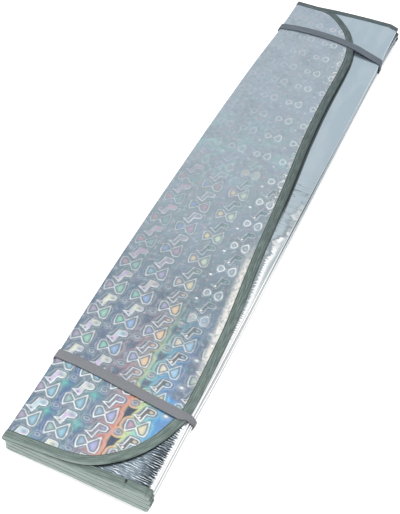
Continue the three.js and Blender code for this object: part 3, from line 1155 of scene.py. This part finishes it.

# %% [markdown]
# ## Silver foil
#
# The sheet's other face is bare metal film on foam. A mirror finish would show only the empty studio,
# so the light that such film catches is painted on a rough metal. The film is smooth on the flat and
# puckers into fine regular wrinkles at the near end, with painted shade in their grooves and painted
# highlights on their crests beside a painted line of light, and its very end is painted darker. The
# folds' own sides are painted bright near and grey far, with painted shade in the gaps between them
# and thin grey streaks along the stack.

# %% Sides of the folds
def fold_sides(silver, x, y, z):
    """Painted colour of the side folds, bright near and grey far, with painted shade in their gaps, and
    where they are.
    """
    # painted light: the side folds are near white by the near end and grey-blue far up
    side = silver.ramp(y.step(-420, 380), [
        (0.0, (238, 240, 241)), (0.32, (240, 242, 242)), (0.44, (196, 203, 206)), (0.56, (140, 152, 158)),
        (1.0, (126, 140, 148))])
    # thin grey streaks along the stack
    grey_streaks = silver.noise(x / 0.9, y / 90, z / 0.45, detail=2).step(0.5, 0.66)
    side = silver.blend(grey_streaks * 0.3, side, (132, 140, 144))
    # painted shade in the gaps between the folds, stronger towards the far end
    painted_gap_shade = (z - 17.9).wrapped(2 * PITCH).size().step(1.4, 0.7)
    side = silver.blend(painted_gap_shade * (0.3 + y.step(-120, 0) * 0.4), side, (84, 92, 96))
    return side, x.step(64.2, 65.2).most(z.step(20, 18.5))


# %% Wrinkles at the near end
def wrinkles(silver, x, y, colour):
    """The colour with its wrinkles' painted shade and highlights, and their height."""
    end = y.step(-336, -352)
    wobble = silver.noise(x / 9, y / 6, detail=1) * 4
    wave = ((y + x * 0.12 + wobble) * (TURN / 2.5)).sine()
    fine = silver.noise(x / 6, y / 1.2, detail=2)
    # painted shade: the very near end of the face is darker, with darker specks
    painted_end_shade = silver.blend(fine.step(0.3, 0.7), (66, 78, 87), (124, 136, 145))
    colour = silver.blend(end, colour, painted_end_shade)
    patchy = silver.noise(x / 9, y / 8 + 5, detail=1)
    # painted shade in the grooves of the wrinkles beside the line of light
    beside = x.step(46, 57) * x.step(63.6, 62) * y.step(-318, -345)
    colour = silver.blend(wave.step(0.1, 0.7) * beside * patchy.step(0.34, 0.5), colour, (22, 28, 32))
    # painted highlights on the wrinkles' crests at the near end
    stitch_and_crest_highlight = wave.step(-0.6, -0.95) * end * patchy.step(0.46, 0.6)
    colour = silver.blend(stitch_and_crest_highlight * 0.7, colour, (222, 229, 233))
    return colour, wave * beside * 0.5 + fine * end * 0.4


# %% [markdown]
# The line of light is a painted highlight with a ragged border and a painted grey shadow before it.
# Past mid length it breaks up and swings, and the painted shade of creases crosses the film there.

# %% Line of light
def line_of_light(silver, x, y, colour):
    near, end = y.step(40, -60), y.step(-336, -352)
    swing = (silver.noise(x / 40, y / 14 + 4, detail=1) - 0.5) * y.step(-110, -60) * 24
    jag = (silver.noise(x / 30, y / 1.5, detail=2) - 0.5) * 9 + swing
    border = (61.5 + (y + 20) * 0.06).most((57.6 - (y + 110) * 0.065).least(61.6))
    shadow = (x + jag - border).step(-6, -1.2) * near * (1 - end)
    colour = silver.blend(shadow * 0.6, colour, (112, 124, 128))
    broken = silver.noise(x / 24, y / 8 + 2, detail=2).step(0.46, 0.56) * y.step(-80, -45)
    shine = (x + jag - border).step(-0.8, 1.0) * near * (1 - broken * 0.75)
    colour = silver.blend(shine * 0.95, colour, (252, 253, 254))
    # painted shade: thin dark lines where the film is creased
    painted_crease_shade = silver.noise(x / 50, y / 10 + 7, detail=1).bump_at(0.5, 0.012)
    painted_crease_shade = painted_crease_shade * y.step(-70, -30) * y.step(70, 30)
    colour = silver.blend(painted_crease_shade * 0.6, colour, (96, 108, 114))
    # painted reflection: a grey-blue lane with fine streaks past the line of light
    lane = silver.noise(x / 0.8, y / 60, detail=2)
    outer = silver.blend(lane.step(0.4, 0.6), (160, 173, 179), (206, 215, 220))
    beyond = (x + jag * 0.4 - border).step(2.4, 5.0) * y.step(60, -10) * (1 - y.step(-120, -210) * 0.85)
    return silver.blend(beyond * 0.85, colour, outer)


# %% [markdown]
# Beside the tape of the top panel a shadow is painted on the silver face, because the two nearly
# touch there. The outline's own points, put on a ramp, give the tape's X at every Y.

# %% Silver foil
CONTACT_START = -100
CONTACT_LENGTH = 440
CONTACT_POINTS = END_OUTLINE[5:16]
X_SCALE = 100  # a ramp holds numbers up to 1


def painted_contact_shadow(silver, x, y):
    places = sorted(((py - CONTACT_START) / CONTACT_LENGTH, px / X_SCALE) for px, py in CONTACT_POINTS)
    stops = [(place, (share, share, share, 1.0)) for place, share in places]
    run = (y - CONTACT_START) / CONTACT_LENGTH
    edge = silver.node("ShaderNodeValToRGB", {"stops": stops}, {0: run}) * X_SCALE
    return (x - edge).step(2.3, 1.0) * y.step(-50, 10) * y.step(338, 320)


def silver_foil():
    silver = Finish("silver_foil", roughness=0.24, metallic=0.8)
    x, y, z = silver.place()
    # painted reflection: the flat face is lighter or darker along the stack, with paler clouds
    flat = silver.ramp(y.step(-420, 380), [
        (0.0, (170, 181, 188)), (0.4, (176, 190, 198)), (1.0, (170, 188, 200))])
    cloud = silver.noise(x / 14, y / 60, z / 6, detail=3)
    flat = silver.blend(cloud.step(0.4, 0.65) * 0.35, flat, (192, 205, 212))
    colour, height = wrinkles(silver, x, y, flat)
    colour = line_of_light(silver, x, y, colour)
    # painted contact shadow beside the top panel's tape
    colour = silver.blend(painted_contact_shadow(silver, x, y) * 0.92, colour, (36, 48, 50))
    side, on_side = fold_sides(silver, x, y, z)
    colour = silver.blend(on_side, colour, side)
    return silver.finish(colour, height + cloud * 0.3, 0.6)


foil.data.materials.append(silver_foil())
print("silver foil painted")

# %% [markdown]
# ## Binding tape and elastic
#
# The binding is a ribbed woven tape with a line of stitches near its inner edge. Ribs, weft and
# stitches are sine waves along and across the tape, which is cheaper than modelled threads and
# follows every bend. Its colour is painted darker from the near end to the far end, as the light
# falls. It is painted paler at the near end, where light grazes its rim, and a painted shade darkens
# its rim on the far half. A small painted shade marks the step where its lapped end stops.

# %% Paint of the binding tape
RIB = 2.1
WEFT = 0.9
STITCH = 3.0
RIM_ACROSS = 9.8  # places across the tape start at its inner edge
STITCHES_ACROSS = 1.9


def binding_tape():
    fabric = Finish("binding_tape", roughness=0.86, metallic=0.0)
    runs, across = fabric.flat()
    x, y, z = fabric.place()
    # painted light: the tape darkens from the near end to the far end
    base = fabric.ramp(y.step(-400, 360), [
        (0.0, (108, 124, 119)), (0.16, (100, 116, 112)), (0.34, (86, 102, 99)),
        (0.7, (72, 87, 86)), (1.0, (62, 76, 84))])
    # painted highlight on the rim at the near end, where light grazes it, weaker on the upper panels
    rim = across.bump_at(RIM_ACROSS, 2.2) * y.step(-384, -392) * (1 - z.step(19.5, 22) * 0.4)
    base = fabric.blend(rim * 0.5, base, (206, 216, 212))
    rib = (across * (TURN / RIB)).sine() * 0.5 + 0.5
    weft = (runs * (TURN / WEFT)).sine() * 0.5 + 0.5
    cloud = fabric.noise(runs / 14, across / 1.6, detail=4)
    colour = fabric.blend(rib * 0.4 * (1 - rim), base, (54, 66, 64))
    colour = fabric.blend(weft * 0.12, colour, (150, 164, 156))
    colour = fabric.blend(cloud.step(0.42, 0.7) * (0.42 - y.step(-150, 20) * 0.2), colour, (144, 162, 156))
    colour = fabric.blend(cloud.step(0.5, 0.3) * 0.34, colour, (62, 76, 72))
    colour = fabric.blend(across.bump_at(0.8, 0.6) * 0.55, colour, (44, 54, 52))
    # painted shade along the rim on the far half
    shade = across.bump_at(9.6, 1.6) * y.step(-180, -20)
    colour = fabric.blend(shade * 0.7, colour, (30, 42, 42))
    # painted shade in the step where the lapped end of the tape stops
    painted_step_shade = length_of((x - 42.4) / 1.1, (y + 395.5) / 3.2).step(1.3, 0.7)
    colour = fabric.blend(painted_step_shade * 0.9, colour, (24, 32, 31))
    # the stitches: a pale line of thread near the tape's inner edge
    stitch_and_crest_highlight = across.bump_at(STITCHES_ACROSS, 0.28) * (runs * (TURN / STITCH)).sine().step(-0.6, 0.0)
    colour = fabric.blend(stitch_and_crest_highlight * 0.6, colour, (158, 172, 164))
    return fabric.finish(colour, rib * -0.5 + weft * 0.15 + stitch_and_crest_highlight * 0.6, 0.6)


tape.data.materials.append(binding_tape())
print("binding tape painted")

# %% [markdown]
# The elastic is a flat braid with ribs along it, painted in the same way, and also painted darker
# from the near band to the far one, as the light falls.

# %% Paint of the elastic
ELASTIC_RIB = 1.3
ELASTIC_WEFT = 0.8


def braid():
    fabric = Finish("elastic_braid", roughness=0.84, metallic=0.0)
    runs, across = fabric.flat()
    _, y, _ = fabric.place()
    # painted light: the elastic darkens from the near band to the far one
    base = fabric.ramp(y.step(-320, 330), [(0.0, (134, 137, 141)), (1.0, (84, 98, 110))])
    rib = (across * (TURN / ELASTIC_RIB)).sine() * 0.5 + 0.5
    weft = ((runs + across.size() * 0.6) * (TURN / ELASTIC_WEFT)).sine() * 0.5 + 0.5
    cloud = fabric.noise(runs / 20, across / 2, detail=3)
    colour = fabric.blend(rib * 0.35, base, (70, 74, 82))
    colour = fabric.blend(weft * 0.15, colour, (158, 158, 164))
    colour = fabric.blend(cloud.step(0.35, 0.7) * 0.3, colour, (130, 130, 136))
    return fabric.finish(colour, rib * -0.5 + weft * 0.2, 0.6)


elastic = braid()
near_band.data.materials.append(elastic)
far_band.data.materials.append(elastic)
print("elastic painted")

# %% [markdown]
# ## Floor and light
#
# The studio is plain: a pale floor, a white world that fills in from all sides, one wide lamp from
# above that gives the folds their shape, and a low one that lights the near end. The floor glows a
# little for the camera and for reflections alone, so it looks white and still takes the shadow.

# %% World and floor
WORLD_LIGHT = 0.9
FLOOR_COLOUR = (0.92, 0.92, 0.92, 1)
FLOOR_GLOW = 0.5
FLOOR_Z = -1e-4  # in metres, just under the stack

world = bpy.data.worlds.new("studio")
world.use_nodes = True
background = world.node_tree.nodes["Background"]
background.inputs["Color"].default_value = (1, 1, 1, 1)
background.inputs["Strength"].default_value = WORLD_LIGHT
bpy.context.scene.world = world
bpy.context.scene.view_settings.view_transform = "Standard"

floor_mesh = bpy.data.meshes.new("floor")
floor_corners = [(x, y, FLOOR_Z) for x, y in ((-6, -6), (6, -6), (6, 8), (-6, 8))]
floor_mesh.from_pydata(floor_corners, [], [(0, 1, 2, 3)])
floor = add_object("floor", floor_mesh)
white = Finish("floor", roughness=0.9, metallic=0.0)
white.shader.inputs["Base Color"].default_value = FLOOR_COLOUR
white.shader.inputs["Emission Color"].default_value = (1, 1, 1, 1)
rays = white.node("ShaderNodeLightPath").socket.node.outputs
seen = Value(white, rays["Is Camera Ray"])
for kind in ("Glossy", "Transmission"):
    seen = seen + Value(white, rays[f"Is {kind} Ray"])
glow = seen.least(1.0) * FLOOR_GLOW
white.tree.links.new(glow.socket, white.shader.inputs["Emission Strength"])
floor.data.materials.append(white.material)
print("floor laid")


# %% Lamps
def lamp(name, energy, size, place):
    """A square lamp that faces the stack."""
    data = bpy.data.lights.new(name, "AREA")
    data.energy = energy
    data.size = size
    made = add_object(name, data)
    made.location = place
    made.rotation_euler = (-made.location).to_track_quat("-Z", "Y").to_euler()


lamp("overhead", energy=26, size=2.4, place=(-0.7, 0.5, 2.4))
lamp("front", energy=14, size=1.0, place=(0.1, -2.0, 0.35))
print("lamps hung")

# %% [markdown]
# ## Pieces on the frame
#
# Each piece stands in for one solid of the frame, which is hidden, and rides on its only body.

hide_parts("folded_sheet")
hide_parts("edge_binding")
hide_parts("near_elastic_band")
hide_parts("far_elastic_band")
SLOTS = ((foil, "foil_sheet"), (tape, "binding_tape"), (near_band, "elastic"), (far_band, "elastic"))
for piece, slot_name in SLOTS:
    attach(piece, "root")
print("pieces declared:", len(SLOTS))
